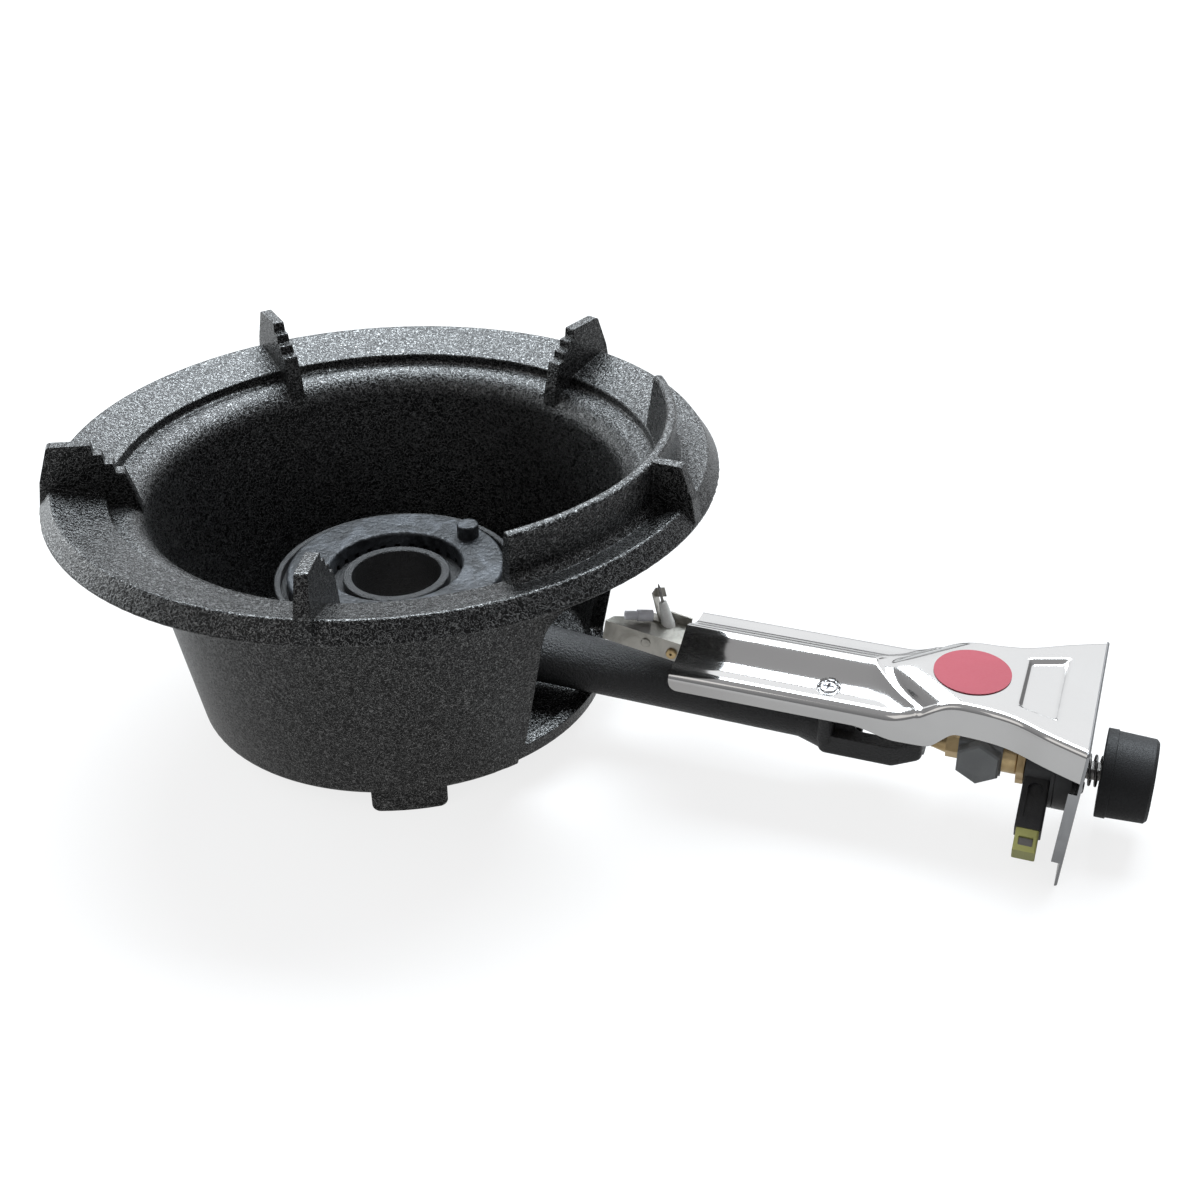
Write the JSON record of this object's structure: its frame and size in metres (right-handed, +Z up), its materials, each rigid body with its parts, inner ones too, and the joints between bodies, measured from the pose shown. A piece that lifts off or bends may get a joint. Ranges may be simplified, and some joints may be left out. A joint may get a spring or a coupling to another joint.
{
  "type": "gas wok burner",
  "caption": "Cast-iron gas wok burner: footed bowl with pan fingers and a wind shield, ring burner with lift-off cap, chromed handle cover, push-and-turn valve knob and piezo igniter.",
  "frame": {"origin": "on the pot's axis, at the floor between its feet", "axes": "+X along the handle to the knob, +Z up"},
  "size_m": [0.4948, 0.299, 0.1482],
  "materials": {
    "cast_black": "black hammertone powder coat with fine silvery veins",
    "burner_black": "black semi-rough heat paint on cast iron",
    "cap_iron": "blue-grey bare cast iron",
    "chrome": "bright chromed pressing",
    "zinc": "dull zinc plate",
    "steel": "bright plated steel",
    "brass": "turned brass",
    "valve_grey": "dark grey die casting",
    "igniter_black": "black moulded plastic",
    "knob_black": "matte black phenolic",
    "piezo_yellow": "yellow moulded plastic",
    "ceramic_white": "white glazed ceramic",
    "ceramic_grey": "light grey ceramic",
    "lead_skin": "light silicone sleeve",
    "badge_red": "plain red film"
  },
  "bodies": {
    "stove": {"pot": "cast_black", "burner_body": "burner_black", "burner_bolts": "steel", "handle_cover": "chrome", "badge": "badge_red", "cover_screw": "steel", "end_panel": "chrome", "injector": "brass", "injector_nut": "brass", "valve_body": "valve_grey", "valve_side_cap": "valve_grey", "gas_inlet": "brass", "bonnet": "brass", "bonnet_nut": "brass", "piezo_holder": "igniter_black", "piezo_element": "piezo_yellow", "piezo_contact": "steel", "igniter_housing": "igniter_black", "panel_screws": "steel", "spring_washer": "steel", "knob_spring": "steel", "igniter_bracket": "zinc", "bracket_screw": "steel", "pilot_nozzle": "brass", "upright_insulator": "ceramic_white", "spark_needle": "steel", "ground_strip": "zinc", "lying_insulator": "ceramic_grey", "ignition_lead": "lead_skin", "pilot_tube": "brass"},
    "burner_cap": {"burner_cap": "cap_iron"},
    "valve_plug": {"valve_plug": "brass", "igniter_cam": "igniter_black"},
    "knob": {"knob": "knob_black", "spindle": "steel"}
  },
  "joints": [
    {"name": "cap_lift", "type": "slide", "parent": "stove", "child": "burner_cap", "axis": [0, 0, 1], "range_m": [0, 0.04]},
    {"name": "knob_turn", "type": "hinge", "parent": "stove", "child": "valve_plug", "pos_m": [0.3, 0, 0.0295], "axis": [1, 0, 0], "range_deg": [0, 90]},
    {"name": "knob_push", "type": "slide", "parent": "valve_plug", "child": "knob", "axis": [-1, 0, 0], "range_m": [0, 0.003], "stiffness_N_per_m": 500, "springref_m": -0.004, "deforming": ["knob_spring"]}
  ]
}
